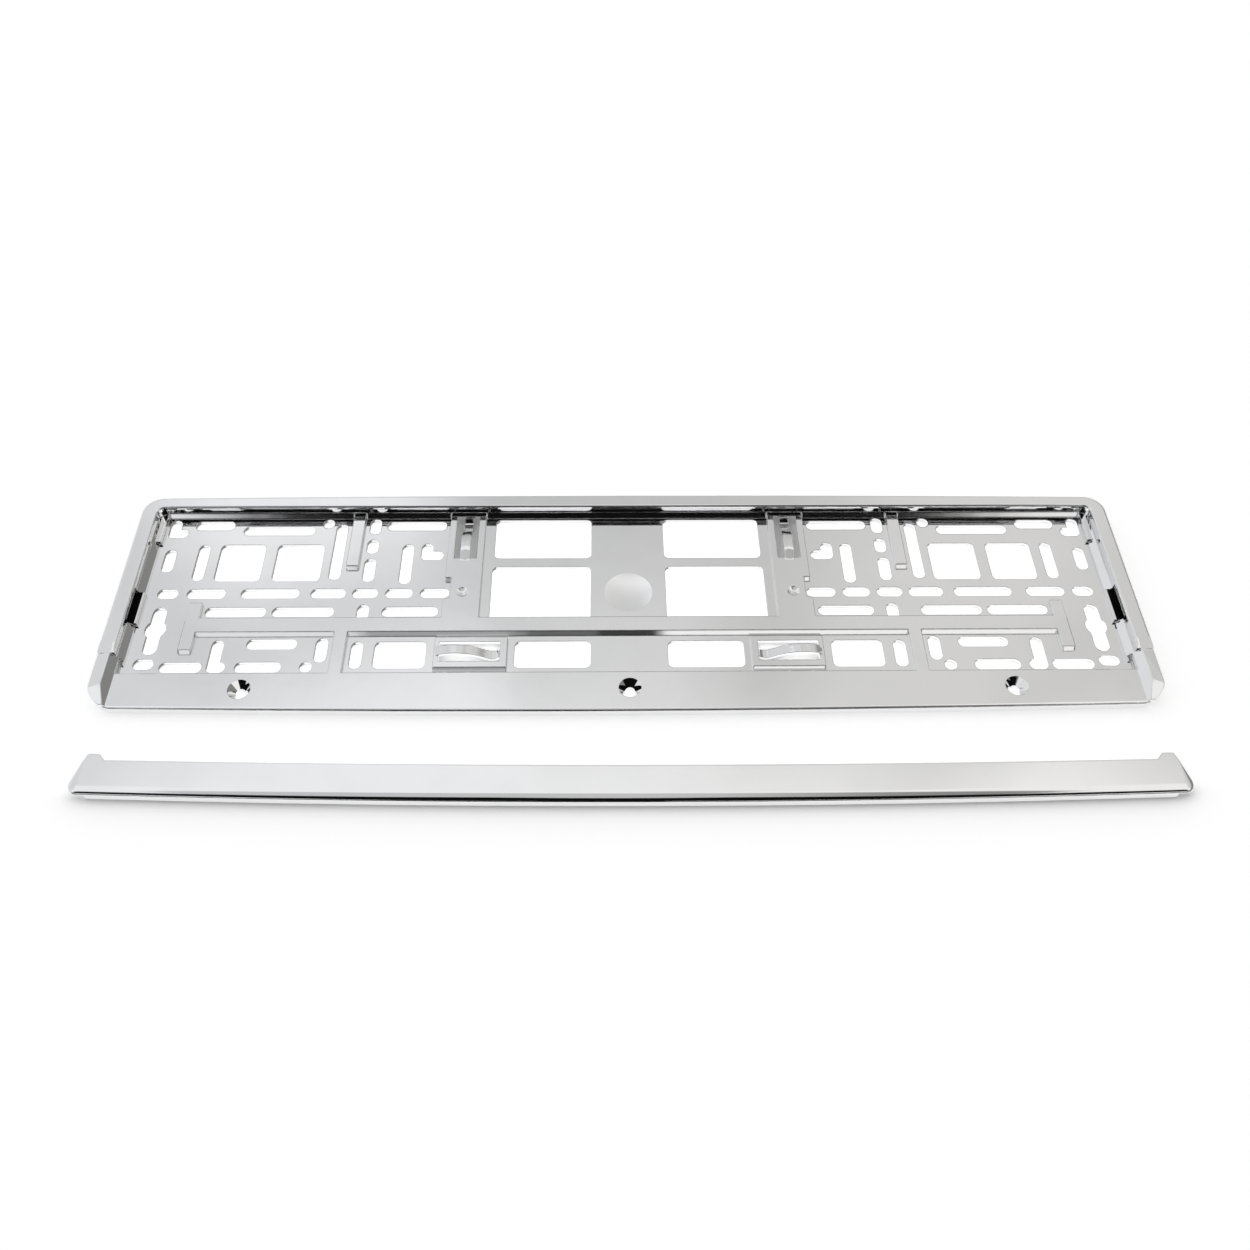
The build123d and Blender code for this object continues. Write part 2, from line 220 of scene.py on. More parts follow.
# Back of the room: where its zones meet, by height and by bearing, which grows to the right
CENTRE_HEIGHT = (0.73, 0.83)
MIDDLE_BEARING = (0.10, 0.26)
RIGHT_BEARING = (0.22, 0.40)
FAR_BEARING = (0.52, 0.62)
FAR_LEFT_BEARING = (-0.52, -0.62)
WINDOW_SPAN = (-0.52, -0.21)
WINDOW_SOFT = 0.08
WINDOW_TOP = (0.81, 0.72)
LOW_HEIGHT = (0.30, 0.62)
HIGH_HEIGHT = (0.82, 0.90)
LEFT_LIFT = 0.05
LEFT_LIFT_BEARING = (-0.10, -0.25)
RIGHT_LIFT = 0.07
RIGHT_LIFT_BEARING = (0.50, 0.68)

# Sides, top and bottom of the room, by height and by the way along and across
FRONT_HALF = (0.10, -0.10)
TOP_HEIGHT = (0.91, 0.93)
TOP_ACROSS = (0.05, 0.30)
SIDE_TOP = (0.64, 0.48)
DIM_ACROSS = (0.45, 0.60)
BRIGHT_ACROSS = (-0.45, -0.60)
HORIZON = (-0.02, 0.0)
TINT_ACROSS = (-0.4, 0.4)

# Keeps bearings finite straight up and down
UPRIGHT_GUARD = 0.0001

# Dark front of the room
FRONT_FACING = (0.35, 0.50)
FRONT_TOP = (0.998, 0.99)

# Sill in the dark front: a slit of light in steps from right to left, each with its limits and brightness
SILL_STEPS = (
    ((0.040, 0.060), 0.96),
    ((0.000, -0.015), 0.14),
    ((-0.068, -0.088), 0.38),
    ((-0.205, -0.230), 0.82),
)

# Sill's foot, with levels in the middle and further out, and its top
SILL_FOOT = (0.460, 0.443)
SILL_FOOT_ACROSS = (0.30, 0.34)
SILL_FOOT_FADE = (-0.006, 0.006)
SILL_TOP = (0.585, 0.565)

# Two lamps, left and right of the camera: the way to the right one, its edge as a cosine, and its foot
LAMP_WAY = Vector((0.480, -0.769, 0.423))
LAMP_EDGE = (0.955, 0.972)
LAMP_FOOT = (0.49, 0.54)

UP = (0.0, 0.0, 1.0)


def link(tree, source, target):
    """Join a socket, or set a plain value, to an input socket."""
    if isinstance(source, bpy.types.NodeSocket):
        tree.links.new(source, target)
    else:
        target.default_value = source


def math_node(tree, operation, first, second=0.0):
    """A Math node's result."""
    node = tree.nodes.new("ShaderNodeMath")
    node.operation = operation
    link(tree, first, node.inputs[0])
    link(tree, second, node.inputs[1])
    return node.outputs[0]


def product(tree, *factors):
    """Numbers multiplied together."""
    result = factors[0]
    for factor in factors[1:]:
        result = math_node(tree, "MULTIPLY", result, factor)
    return result


def vector_node(tree, operation, first, second=None, scale=None):
    """A Vector Math node's result."""
    node = tree.nodes.new("ShaderNodeVectorMath")
    node.operation = operation
    link(tree, first, node.inputs[0])
    if second is not None:
        link(tree, second, node.inputs[1])
    if scale is not None:
        link(tree, scale, node.inputs["Scale"])
    return node.outputs["Value"] if operation == "LENGTH" else node.outputs["Vector"]


def parts(tree, vector):
    """A vector's three numbers."""
    node = tree.nodes.new("ShaderNodeSeparateXYZ")
    tree.links.new(vector, node.inputs["Vector"])
    return tuple(node.outputs)


def fade(tree, value, start, end):
    """0 before start, 1 after end, and smooth between them; start may be above end."""
    node = tree.nodes.new("ShaderNodeMapRange")
    node.interpolation_type = "SMOOTHSTEP"
    link(tree, value, node.inputs["Value"])
    node.inputs["From Min"].default_value = min(start, end)
    node.inputs["From Max"].default_value = max(start, end)
    node.inputs["To Min"].default_value = 0.0 if start < end else 1.0
    node.inputs["To Max"].default_value = 1.0 if start < end else 0.0
    return node.outputs["Result"]


def within(tree, value, low, high, soft):
    """1 between low and high, 0 outside, with soft ends."""
    above = fade(tree, value, low - soft, low + soft)
    return product(tree, above, fade(tree, value, high + soft, high - soft))


def blend(tree, factor, first, second):
    """A number between first and second."""
    node = tree.nodes.new("ShaderNodeMix")
    link(tree, factor, node.inputs[0])
    link(tree, first, node.inputs[2])
    link(tree, second, node.inputs[3])
    return node.outputs[0]


def blend_vector(tree, factor, first, second):
    """A vector between first and second."""
    node = tree.nodes.new("ShaderNodeMix")
    node.data_type = "VECTOR"
    link(tree, factor, node.inputs[0])
    link(tree, first, node.inputs[4])
    link(tree, second, node.inputs[5])
    return node.outputs[1]


def blend_colour(tree, factor, first, second):
    """A colour between first and second."""
    node = tree.nodes.new("ShaderNodeMix")
    node.data_type = "RGBA"
    link(tree, factor, node.inputs[0])
    link(tree, first, node.inputs[6])
    link(tree, second, node.inputs[7])
    return node.outputs[2]


def noise(tree, place, scale, detail):
    """A noise pattern's value at a place."""
    node = tree.nodes.new("ShaderNodeTexNoise")
    node.inputs["Scale"].default_value = scale
    node.inputs["Detail"].default_value = detail
    tree.links.new(place, node.inputs["Vector"])
    return node.outputs["Fac"]


def bump(tree, height, distance, strength, normal):
    """A Bump node's normal, on top of another normal."""
    node = tree.nodes.new("ShaderNodeBump")
    node.inputs["Distance"].default_value = distance
    link(tree, strength, node.inputs["Strength"])
    tree.links.new(height, node.inputs["Height"])
    tree.links.new(normal, node.inputs["Normal"])
    return node.outputs["Normal"]


class Chrome:
    """Chrome plating on plastic, in the making: its node tree, and its colour, blur and normal so far."""

    def __init__(self, name):
        self.material = bpy.data.materials.new(name)
        self.material.use_nodes = True
        self.tree = self.material.node_tree
        self.place = self.tree.nodes.new("ShaderNodeTexCoord").outputs["Object"]
        smudge = noise(self.tree, self.place, *SMUDGE_NOISE)
        self.patches = fade(self.tree, smudge, *SMUDGE_FADE)
        self.colour = blend_colour(self.tree, self.patches, CHROME_TINT, CHROME_SMUDGE)
        self.blur = blend(self.tree, self.patches, *POLISHED)
        self.edge = self.tree.nodes.new("ShaderNodeBevel")
        self.edge.samples = EDGE_SAMPLES
        self.edge.inputs["Radius"].default_value = EDGE_RADIUS
        self.normal = self.edge.outputs["Normal"]

    def change(self, mask, normal=None, blur=None, colour=None):
        """Give another normal, blur or colour to the faces where the mask is 1."""
        if normal is not None:
            self.normal = blend_vector(self.tree, mask, self.normal, normal)
        if blur is not None:
            self.blur = blend(self.tree, mask, self.blur, blur)
        if colour is not None:
            self.colour = blend_colour(self.tree, mask, self.colour, colour)

    def finish(self, waves):
        """Lay slow waves over it all, join it to the shader, and give the material."""
        pattern = noise(self.tree, self.place, *WAVE_NOISE)
        self.normal = bump(self.tree, pattern, WAVE_DEPTH, waves, self.normal)
        shader = self.tree.nodes["Principled BSDF"]
        shader.inputs["Metallic"].default_value = 1.0
        self.tree.links.new(self.colour, shader.inputs["Base Color"])
        self.tree.links.new(self.blur, shader.inputs["Roughness"])
        self.tree.links.new(self.normal, shader.inputs["Normal"])
        return self.material


class Spot:
    """Where a point of the frame lies and which way its face looks, as sockets."""

    def __init__(self, tree, place):
        x, self.y, self.z = parts(tree, place)
        self.across = math_node(tree, "ABSOLUTE", x)
        geometry = tree.nodes.new("ShaderNodeNewGeometry")
        self.normal = geometry.outputs["Normal"]
        self.true_normal = geometry.outputs["True Normal"]
        self.sideways, forward, self.upward = parts(tree, self.true_normal)
        leaning = fade(tree, forward, *SLOPE_FORWARD)
        self.slope = product(tree, leaning, fade(tree, self.upward, *SLOPE_UPWARD))


def round_edges(chrome, spot):
    """Wider rounding on slopes and on the rim; flat faces keep their true normal."""
    tree = chrome.tree
    flat = fade(tree, spot.upward, *FLAT_UPWARD)
    even = blend_vector(tree, flat, spot.normal, spot.true_normal)
    tree.links.new(even, chrome.edge.inputs["Normal"])
    slope = product(tree, spot.slope, fade(tree, spot.z, *SLOPE_TOP))
    radius = blend(tree, slope, EDGE_RADIUS, SLOPE_RADIUS)
    radius = blend(tree, fade(tree, spot.z, *RIM_FOOT), radius, RIM_RADIUS)
    tree.links.new(radius, chrome.edge.inputs["Radius"])


def blur_floor(chrome, spot):
    """Satin on the floor's flat faces and a softer bevel at the top wall's foot. Gives where the satin is."""
    tree = chrome.tree
    satin = product(tree, fade(tree, spot.z, *SATIN_TOP), fade(tree, spot.upward, *SATIN_UPWARD))
    chrome.change(satin, blur=blend(tree, chrome.patches, *SATIN))
    bevel = product(tree, within(tree, spot.y, *BEVEL_SPAN, SOFT), spot.slope)
    chrome.change(bevel, blur=BEVEL_BLUR)
    return satin


def flat_place(tree, place, centre):
    """Place relative to an upright axis, with no height."""
    spread = vector_node(tree, "MULTIPLY", place, (1.0, 1.0, 0.0))
    return vector_node(tree, "SUBTRACT", spread, (*centre, 0.0))


def bowl(tree, place, centre, sphere, rim):
    """Where a bowl is, as 0 or 1, and the bowl's normal there."""
    spread = flat_place(tree, place, centre)
    inside = fade(tree, vector_node(tree, "LENGTH", spread), rim + SOFT_FINE, rim - SOFT_FINE)
    lean = vector_node(tree, "SCALE", spread, scale=-1.0 / sphere)
    return inside, vector_node(tree, "NORMALIZE", vector_node(tree, "ADD", lean, UP))


def cone(tree, place, centre):
    """Where a screw hole's cone is, as 0 or 1, and the cone's normal there."""
    spread = flat_place(tree, place, centre)
    inside = within(tree, vector_node(tree, "LENGTH", spread), *CONE_SPAN, SOFT_FINEST)
    outward = vector_node(tree, "NORMALIZE", spread)
    lean = vector_node(tree, "SCALE", outward, scale=-sin(radians(CONE_LEAN)))
    return inside, vector_node(tree, "ADD", lean, (0.0, 0.0, cos(radians(CONE_LEAN))))


def shade_hollows(chrome, spot):
    """Dish, pin marks and screw holes with the normals of true spheres and cones; the dish is also blurred
    and painted lighter, as painted light.
    """
    tree = chrome.tree
    inside, normal = bowl(tree, chrome.place, *DISH)
    inside = product(tree, inside, fade(tree, spot.upward, *DISH_UPWARD))
    # The dish is painted lighter than the rest: painted light
    chrome.change(inside, normal=normal, blur=DISH_BLUR, colour=DISH_PAINTED_LIGHT)
    for mark in PIN_MARKS:
        inside, normal = bowl(tree, chrome.place, *mark)
        inside = product(tree, inside, fade(tree, spot.upward, *PIN_UPWARD))
        chrome.change(inside, normal=normal)
    for screw in SCREWS:
        inside, normal = cone(tree, chrome.place, screw)
        inside = product(tree, inside, within(tree, spot.upward, *CONE_UPWARD_SPAN, CONE_SOFT))
        chrome.change(inside, normal=normal)


def shade_rim(chrome, spot):
    """Ramps at the rim's low ends shaded level, and the rim's inner edge at the top wall shaded round."""
    tree = chrome.tree
    ramp = product(tree, fade(tree, spot.across, *RAMP_REACH), within(tree, spot.y, *RAMP_SPAN, SOFT))
    ramp = product(tree, ramp, fade(tree, spot.z, *RAMP_FOOT), fade(tree, spot.upward, *RAMP_UPWARD))
    chrome.change(ramp, normal=UP)

    lip = product(tree, fade(tree, spot.across, *LIP_REACH), fade(tree, spot.upward, *LIP_UPWARD))
    lip = product(tree, lip, within(tree, spot.y, *LIP_SPAN, SOFT_FINEST), fade(tree, spot.z, *LIP_FOOT))
    inner_edge, level_edge = LIP_SPAN
    rounding = fade(tree, spot.y, level_edge, inner_edge)
    lean = vector_node(tree, "SCALE", (0.0, LIP_SLOPE, 0.0), scale=rounding)
    rounded = vector_node(tree, "NORMALIZE", vector_node(tree, "ADD", lean, UP))
    chrome.change(lip, normal=rounded)


def paint_shade_in_recesses(chrome, spot):
    """Painted shade on the end walls of the slots and in the catch pockets of the side walls."""
    tree = chrome.tree
    # End walls of the slots darkened: painted shade
    wall = product(tree, fade(tree, spot.z, *SLOT_TOP), fade(tree, spot.sideways, *SLOT_SIDEWAYS))
    wall = product(tree, wall, fade(tree, spot.upward, *SLOT_UPWARD))
    wall = product(tree, wall, within(tree, spot.y, *SLOT_SPAN, SOFT))
    wall = product(tree, wall, fade(tree, spot.across, *SLOT_REACH))
    chrome.change(wall, blur=SLOT_BLUR, colour=SLOT_PAINTED_SHADE)

    # Catch pockets darkened: painted shade
    pocket_painted_shade = within(tree, spot.across, *LATCH_ACROSS_SPAN, SOFT_FINE)
    pocket_painted_shade = product(tree, pocket_painted_shade, within(tree, spot.y, *LATCH_ALONG_SPAN, SOFT))
    pocket_painted_shade = product(tree, pocket_painted_shade, within(tree, spot.z, *LATCH_UP_SPAN, SOFT_FINE))
    chrome.change(pocket_painted_shade, blur=LATCH_BLUR, colour=LATCH_PAINTED_SHADE)


def frame_chrome(name):
    """The frame's plating: polished rim, grained floor, smooth hollows, a dish painted lighter, and painted
    shade in its recesses.
    """
    chrome = Chrome(name)
    spot = Spot(chrome.tree, chrome.place)
    round_edges(chrome, spot)
    satin = blur_floor(chrome, spot)
    shade_hollows(chrome, spot)
    shade_rim(chrome, spot)
    pattern = noise(chrome.tree, chrome.place, *GRAIN_NOISE)
    grain = product(chrome.tree, satin, GRAIN)
    chrome.normal = bump(chrome.tree, pattern, GRAIN_DEPTH, grain, chrome.normal)
    paint_shade_in_recesses(chrome, spot)
    return chrome.finish(FRAME_WAVES)


def strip_chrome(name):
    """The strip's plating, polished all over."""
    return Chrome(name).finish(STRIP_WAVES)


def coat(mesh, material):
    """Give a mesh one material."""
    mesh.materials.clear()
    mesh.materials.append(material)


def smooth_normals(node):
    """Even shading on curved faces and crisp edges; only corners that all but coincide are joined."""
    weld = node.modifiers.new("weld", "WELD")
    weld.merge_threshold = WELD_REACH
    edges = node.modifiers.new("corners", "EDGE_SPLIT")
    edges.split_angle = radians(SMOOTH_ANGLE)
    edges.use_edge_sharp = False
    normals = node.modifiers.new("normals", "WEIGHTED_NORMAL")
    normals.weight = LARGE_FACES


def arc_radius(reach, rise):
    """Radius of an arc that rises by rise at a distance of reach from its middle."""
    return (reach**2 + rise**2) / (2 * rise)


def bow(x, reach, rise):
    """Height of that arc at a distance of x from its middle."""
    radius = arc_radius(reach, rise)
    return radius - sqrt(radius**2 - x**2)


def between(start, end, count):
    """Points from start to end, without the end."""
    return [tuple(s + (e - s) * i / count for s, e in zip(start, end)) for i in range(count)]


def strip_front():
    """Half of the strip's front edge and its round corner, as x, y and the share of the full roll there."""
    radius = arc_radius(STRIP_END, STRIP_FRONT_BOW)
    corner_x = STRIP_END - STRIP_CORNER
    corner_y = radius - sqrt((radius - STRIP_CORNER) ** 2 - corner_x**2)
    lean = corner_x / (radius - STRIP_CORNER)
    front_end = corner_x + STRIP_CORNER * lean
    steps = round(front_end / STRIP_STEP)
    points = []
    for i in range(steps):
        x = front_end * i / steps
        points.append((x, bow(x, STRIP_END, STRIP_FRONT_BOW), 1.0))
    for i in range(ROLL_STEPS + 1):
        angle = (pi / 2 - lean) * (i / ROLL_STEPS - 1)
        points.append((corner_x + STRIP_CORNER * cos(angle), corner_y + STRIP_CORNER * sin(angle), 1.0))
    return points


def strip_back():
    """Half of the strip's end, ear and back edge; the roll thins out over two thirds of the end."""
    line_foot = (STRIP_END, STRIP_END_LINE, 1.0)
    thin_place = ((STRIP_END + 2 * EAR_OUTER) / 3, (STRIP_END_LINE + 2 * EAR_TOP) / 3, 0.0)
    ear_outer = (EAR_OUTER, EAR_TOP, 0.0)
    ear_inner = (EAR_INNER, EAR_TOP, 0.0)
    ear_foot = (EAR_FOOT, STRIP_DEPTH + STRIP_BACK_BOW, 0.0)
    points = between(line_foot, thin_place, THINNING_STEPS)
    points += between(thin_place, ear_outer, THIN_STEPS)
    points += between(ear_outer, ear_inner, EAR_STEPS)
    points += between(ear_inner, ear_foot, EAR_STEPS)
    steps = round(EAR_FOOT / STRIP_STEP)
    for i in range(steps + 1):
        x = EAR_FOOT * (1 - i / steps)
        points.append((x, STRIP_DEPTH + bow(x, EAR_FOOT, STRIP_BACK_BOW), 0.0))
    return points


def strip_outline():
    """The strip's whole outline, anticlockwise, from the middle of its front edge."""
    half = strip_front() + strip_back()
    return half + [(-x, y, share) for x, y, share in reversed(half[1:-1])]


def inward(points):
    """At each point of an anticlockwise outline, the way inwards, longer at a corner."""
    ways = []
    for i, point in enumerate(points):
        here = Vector(point[:2])
        before = (here - Vector(points[i - 1][:2])).normalized()
        after = (Vector(points[(i + 1) % len(points)][:2]) - here).normalized()
        side = Vector((-before.y, before.x))
        middle = (side + Vector((-after.y, after.x))).normalized()
        ways.append(middle / max(middle.dot(side), CORNER_LIMIT))
    return ways


def add_mesh(name, corners, faces):
    """A new object of the given corners and faces."""
    mesh = bpy.data.meshes.new(name)
    mesh.from_pydata(corners, [], faces)
    piece = bpy.data.objects.new(name, mesh)
    bpy.context.scene.collection.objects.link(piece)
    return piece


def stack(name, rings):
    """A closed body of rings of as many corners each, from its foot to its top."""
    count = len(rings[0])
    top = (len(rings) - 1) * count
    faces = [tuple(reversed(range(count)))]
    for low in range(0, top, count):
        for i in range(count):
            after = (i + 1) % count
            faces.append((low + i, low + after, low + count + after, low + count + i))
    faces.append(tuple(range(top, top + count)))
    return add_mesh(name, [corner for ring in rings for corner in ring], faces)


def prism(name, points, low, high):
    """A closed block over an anticlockwise outline."""
    return stack(name, [[(x, y, height) for x, y in points] for height in (low, high)])


def strip_body():
    """The strip's outside: upright wall, rolled edge and flat top, in rings round its outline."""
    points = strip_outline()
    ways = inward(points)
    rings = [[(x, y, 0.0) for x, y, _ in points]]
    for step in range(ROLL_STEPS + 2):
        angle = min(step / ROLL_STEPS, 1.0) * pi / 2
        margin = STRIP_EDGE if step > ROLL_STEPS else 0.0
        ring = []
        for (x, y, share), way in zip(points, ways):
            inset = (STRIP_EDGE + share * (STRIP_ROLL - STRIP_EDGE)) * (1 - cos(angle)) + margin
            drop = (STRIP_EDGE + share * (STRIP_DROP - STRIP_EDGE)) * (1 - sin(angle))
            ring.append((x + way.x * inset, y + way.y * inset, STRIP_HEIGHT - drop))
        rings.append(ring)
    return stack("cover_strip_fine", rings)


def strip_cutters():
    """Blocks that hollow the strip's underside and thin its two ends."""
    inner_end = SKIRT_END - STRIP_WALL
    steps = round(inner_end / STRIP_STEP)
    stations = [inner_end * (i / steps - 1) for i in range(2 * steps + 1)]
    hollow = [(x, bow(x, STRIP_END, STRIP_FRONT_BOW) + STRIP_WALL) for x in stations]
    hollow += [(x, STRIP_DEPTH - STRIP_WALL + bow(x, EAR_FOOT, STRIP_BACK_BOW)) for x in reversed(stations)]
    low, high = -STRIP_HEIGHT, STRIP_HEIGHT - STRIP_WALL
    cutters = [prism("hollow", hollow, low, high)]
    for near, far in ((SKIRT_END, 2 * STRIP_END), (-2 * STRIP_END, -SKIRT_END)):
        block = [(near, -END_CUT), (far, -END_CUT), (far, END_CUT), (near, END_CUT)]
        cutters.append(prism("end", block, low, high))
    return cutters


def strip_mesh():
    """The strip's outside with its underside cut hollow, lying in its place."""
    body = strip_body()
    cutters = strip_cutters()
    for cutter in cutters:
        cut = body.modifiers.new(cutter.name, "BOOLEAN")
        cut.operation = "DIFFERENCE"
        cut.solver = "EXACT"
        cut.object = cutter
    graph = bpy.context.evaluated_depsgraph_get()
    mesh = bpy.data.meshes.new_from_object(body.evaluated_get(graph))
    for gone in [body] + cutters:
        bpy.data.objects.remove(gone)
    turn = Matrix.Rotation(radians(STRIP_TURN), 4, "Z")
    mesh.transform(Matrix.Translation(STRIP_PLACE) @ turn)
    mesh.shade_smooth()
    mesh.set_sharp_from_angle(angle=radians(STRIP_SHARP))
    return mesh


def add_strip():
    """The cover strip with a finely stepped roll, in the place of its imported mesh."""
    mesh = strip_mesh()
    strip = bpy.data.objects.new("cover_strip_fine", mesh)
    bpy.context.scene.collection.objects.link(strip)
    coat(mesh, strip_chrome("strip_chrome"))
    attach(strip, "root")
    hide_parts("cover_strip")


def table_glow(tree):
    """How brightly the table glows, for the camera and in reflections alone, so that it looks white; brighter
    inside the frame's outline as painted light and dimmer under the upper spring leaves as painted shade.
    """
    place = tree.nodes.new("ShaderNodeTexCoord").outputs["Object"]
    x, y, _ = parts(tree, place)
    across = math_node(tree, "ABSOLUTE", x)
    path = tree.nodes.new("ShaderNodeLightPath").outputs
    seen = math_node(tree, "MAXIMUM", path["Is Camera Ray"], path["Is Glossy Ray"])
    seen = math_node(tree, "MAXIMUM", seen, path["Is Transmission Ray"])

    shade = tree.nodes.new("ShaderNodeAmbientOcclusion")
    shade.samples = SHADE_SAMPLES
    shade.inputs["Distance"].default_value = SHADE_REACH
    sky = shade.outputs["AO"]
    tail = math_node(tree, "POWER", sky, SHADE_POWER)
    share = blend(tree, fade(tree, y, *STRIP_FRONT), fade(tree, sky, *SHADE_FADE), tail)
    share = blend(tree, path["Is Camera Ray"], 1.0, share)
    # Under the upper spring leaves the glow is dimmed: painted shade
    leaf_painted_shade = within(tree, across, *LEAF_ACROSS_SPAN, LEAF_SOFT)
    leaf_painted_shade = product(tree, leaf_painted_shade, within(tree, y, *LEAF_ALONG_SPAN, LEAF_SOFT))
    share = blend(tree, leaf_painted_shade, share, LEAF_PAINTED_SHADE)

    # Inside the frame's outline the glow is raised: painted light
    inside = product(tree, fade(tree, across, *FRAME_END), within(tree, y, *FRAME_SPAN, FRAME_SOFT))
    level = product(tree, share, blend(tree, inside, TABLE_GLOW, FRAME_PAINTED_LIGHT))
    return product(tree, seen, level)


def table_white():
    """The table's finish: matte white with a glow."""
    material = bpy.data.materials.new("table_white")
    material.use_nodes = True
    tree = material.node_tree
    tree.nodes.remove(tree.nodes["Principled BSDF"])
    matte = tree.nodes.new("ShaderNodeBsdfDiffuse")
    matte.inputs["Color"].default_value = TABLE_COLOUR
    glow = tree.nodes.new("ShaderNodeEmission")
    tree.links.new(table_glow(tree), glow.inputs["Strength"])
    both = tree.nodes.new("ShaderNodeAddShader")
    tree.links.new(matte.outputs["BSDF"], both.inputs[0])
    tree.links.new(glow.outputs["Emission"], both.inputs[1])
    tree.links.new(both.outputs["Shader"], tree.nodes["Material Output"].inputs["Surface"])
    return material


def add_table():
    """A wide white table top that keeps the object's shadow."""
    bpy.ops.mesh.primitive_plane_add(size=TABLE_SIZE, location=(0, 0, TABLE_LEVEL))
    table = bpy.context.object
    table.name = "table"
    coat(table.data, table_white())


class Way:
    """A direction into the room, as sockets: its parts, its bearing and how far it faces the camera."""

    def __init__(self, tree):
        place = tree.nodes.new("ShaderNodeTexCoord").outputs["Generated"]
        self.across, self.along, self.height = parts(tree, place)
        self.off_middle = math_node(tree, "ABSOLUTE", self.across)
        squared = math_node(tree, "POWER", self.height, 2.0)
        level = math_node(tree, "SQRT", math_node(tree, "SUBTRACT", 1.0 + UPRIGHT_GUARD, squared))
        self.bearing = math_node(tree, "DIVIDE", self.across, level)
        self.facing = math_node(tree, "DIVIDE", product(tree, self.along, -1.0), level)


def room_back(tree, way):
    """Brightness of the room's back: grey zones side by side, a window on the left, bright above."""
    sideways = math_node(tree, "ABSOLUTE", way.bearing)
    light = blend(tree, fade(tree, way.height, *CENTRE_HEIGHT), *ROOM_CENTRE)
    light = blend(tree, fade(tree, way.bearing, *MIDDLE_BEARING), light, ROOM_MIDDLE)
    light = blend(tree, fade(tree, way.bearing, *RIGHT_BEARING), light, ROOM_RIGHT)
    light = blend(tree, fade(tree, sideways, *FAR_BEARING), light, ROOM_FAR)
    light = blend(tree, fade(tree, way.bearing, *FAR_LEFT_BEARING), light, ROOM_FAR_LEFT)
    window = within(tree, way.bearing, *WINDOW_SPAN, WINDOW_SOFT)
    window = product(tree, window, fade(tree, way.height, *WINDOW_TOP))
    light = blend(tree, window, light, ROOM_WINDOW)
    light = blend(tree, fade(tree, way.height, *LOW_HEIGHT), ROOM_LOW, light)
    left = product(tree, fade(tree, way.bearing, *LEFT_LIFT_BEARING), LEFT_LIFT)
    right = product(tree, fade(tree, way.bearing, *RIGHT_LIFT_BEARING), RIGHT_LIFT)
    raised = math_node(tree, "ADD", way.height, math_node(tree, "ADD", left, right))
    return blend(tree, fade(tree, raised, *HIGH_HEIGHT), light, ROOM_HIGH)


def room_around(tree, way, light):
    """Brightness with the bright half on the camera's side, the top, a dim right and a bright left side."""
    light = blend(tree, fade(tree, way.along, *FRONT_HALF), light, ROOM_HIGH)
    top = blend(tree, fade(tree, way.across, *TOP_ACROSS), *ROOM_TOP)
    light = blend(tree, fade(tree, way.height, *TOP_HEIGHT), light, top)
    low = fade(tree, way.height, *SIDE_TOP)
    dim = product(tree, fade(tree, way.across, *DIM_ACROSS), low)
    light = blend(tree, dim, light, ROOM_DIM_SIDE)
    bright = product(tree, fade(tree, way.across, *BRIGHT_ACROSS), low)
    return blend(tree, bright, light, ROOM_BRIGHT_SIDE)


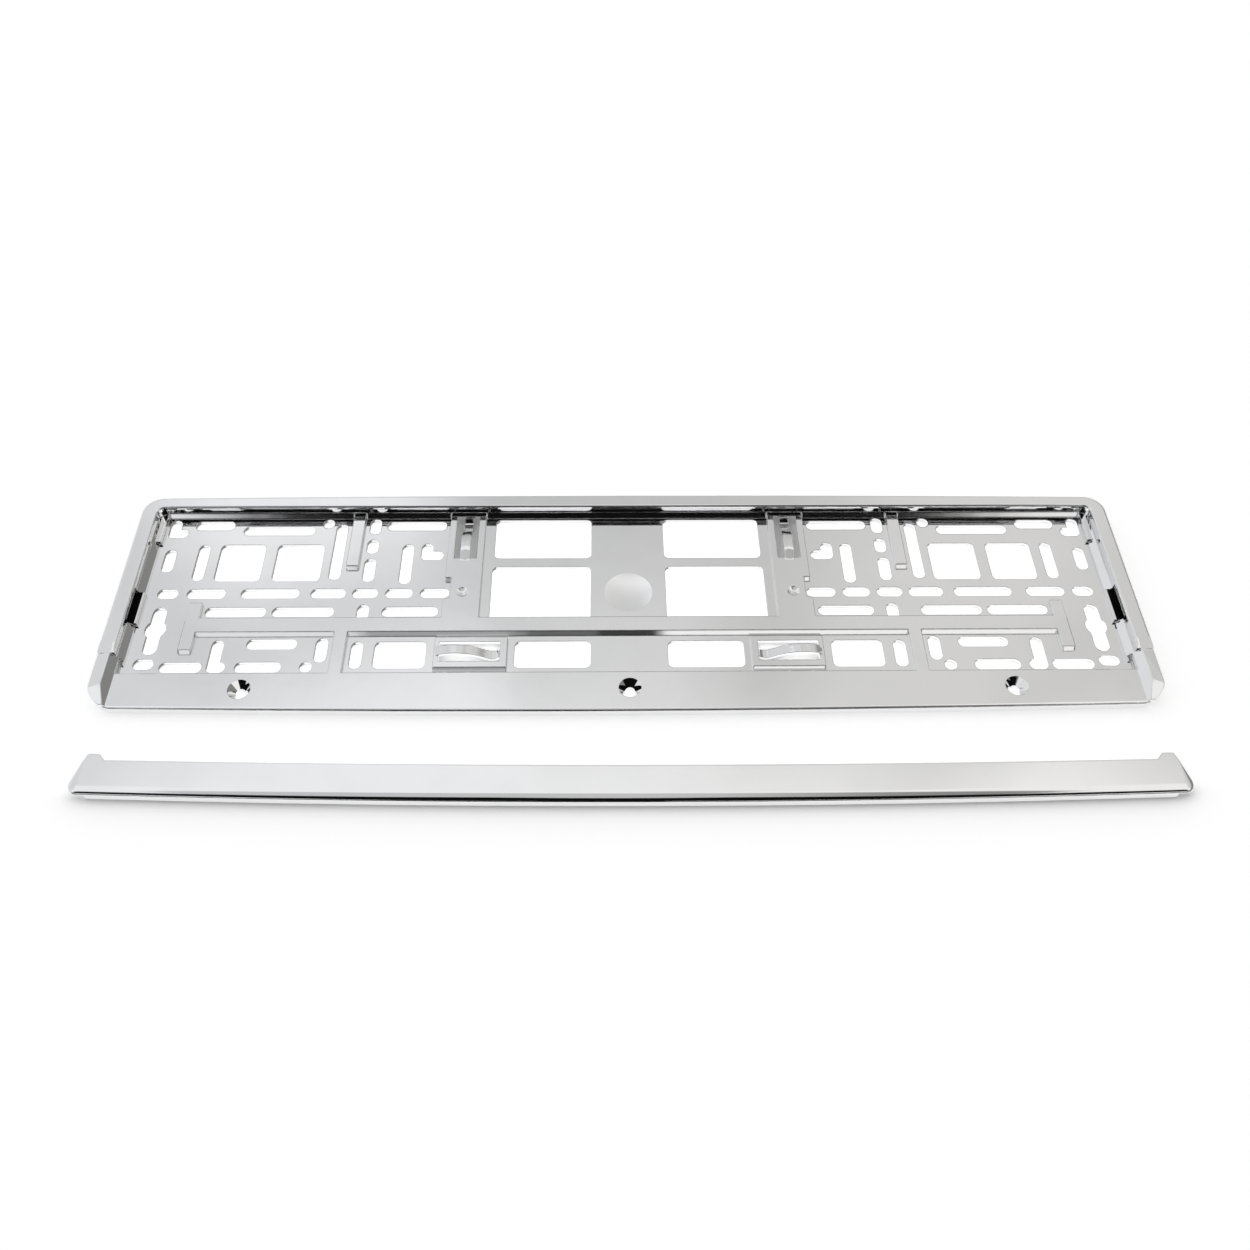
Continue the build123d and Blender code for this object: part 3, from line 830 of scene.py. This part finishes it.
def room_front(tree, way, light):
    """Brightness with the dark front towards the camera, its sill and its two lamps."""
    front = product(tree, fade(tree, way.facing, *FRONT_FACING), fade(tree, way.height, *FRONT_TOP))
    light = blend(tree, front, light, ROOM_DARK)

    sill = ROOM_SILL
    for edge, level in SILL_STEPS:
        sill = blend(tree, fade(tree, way.across, *edge), sill, level)
    foot = blend(tree, fade(tree, way.off_middle, *SILL_FOOT_ACROSS), *SILL_FOOT)
    above = fade(tree, math_node(tree, "SUBTRACT", way.height, foot), *SILL_FOOT_FADE)
    slit = product(tree, front, above, fade(tree, way.height, *SILL_TOP))
    light = blend(tree, slit, light, sill)

    lamp = product(tree, way.off_middle, LAMP_WAY.x)
    lamp = math_node(tree, "ADD", lamp, product(tree, way.along, LAMP_WAY.y))
    lamp = math_node(tree, "ADD", lamp, product(tree, way.height, LAMP_WAY.z))
    lamp = product(tree, fade(tree, lamp, *LAMP_EDGE), fade(tree, way.height, *LAMP_FOOT))
    return blend(tree, lamp, light, ROOM_LAMP)


def add_room():
    """The studio round the table: zones of light by direction, white below and white to the camera."""
    world = bpy.data.worlds.new("studio")
    world.use_nodes = True
    bpy.context.scene.world = world
    tree = world.node_tree
    way = Way(tree)
    light = room_front(tree, way, room_around(tree, way, room_back(tree, way)))
    light = blend(tree, fade(tree, way.height, *HORIZON), 1.0, light)
    colour = blend_colour(tree, fade(tree, way.across, *TINT_ACROSS), COOL, WARM)
    to_camera = tree.nodes.new("ShaderNodeLightPath").outputs["Is Camera Ray"]
    light = blend(tree, to_camera, light, 1.0)
    colour = blend_colour(tree, to_camera, colour, WHITE)
    background = tree.nodes["Background"]
    tree.links.new(light, background.inputs["Strength"])
    tree.links.new(colour, background.inputs["Color"])


def add_camera():
    """A camera that looks down on the object, worked out for a square picture."""
    down, yaw, roll = radians(CAMERA_DOWN), radians(CAMERA_YAW), radians(CAMERA_ROLL)
    forward = Vector((-sin(yaw) * cos(down), cos(yaw) * cos(down), -sin(down)))
    level = Vector((cos(yaw), sin(yaw), 0.0))
    upward = level.cross(forward)
    right = level * cos(roll) + upward * sin(roll)
    above = upward * cos(roll) - level * sin(roll)
    data = bpy.data.cameras.new("camera")
    data.sensor_fit = "HORIZONTAL"
    data.sensor_width = SENSOR_WIDTH
    data.lens = SENSOR_WIDTH * FOCAL_PIXELS / PICTURE_WIDTH
    data.clip_start = CAMERA_NEAR
    camera = bpy.data.objects.new("camera", data)
    turn = Matrix((right, above, -forward)).transposed().to_4x4()
    camera.matrix_world = Matrix.Translation(CAMERA_PLACE) @ turn
    bpy.context.scene.collection.objects.link(camera)
    bpy.context.scene.camera = camera


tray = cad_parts["base_frame"]
coat(tray.data, frame_chrome("frame_chrome"))
smooth_normals(tray)
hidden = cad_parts["cover_strip"]
coat(hidden.data, strip_chrome("strip_chrome_plain"))

add_strip()
add_table()
add_room()
add_camera()
bpy.context.scene.view_settings.view_transform = "Standard"
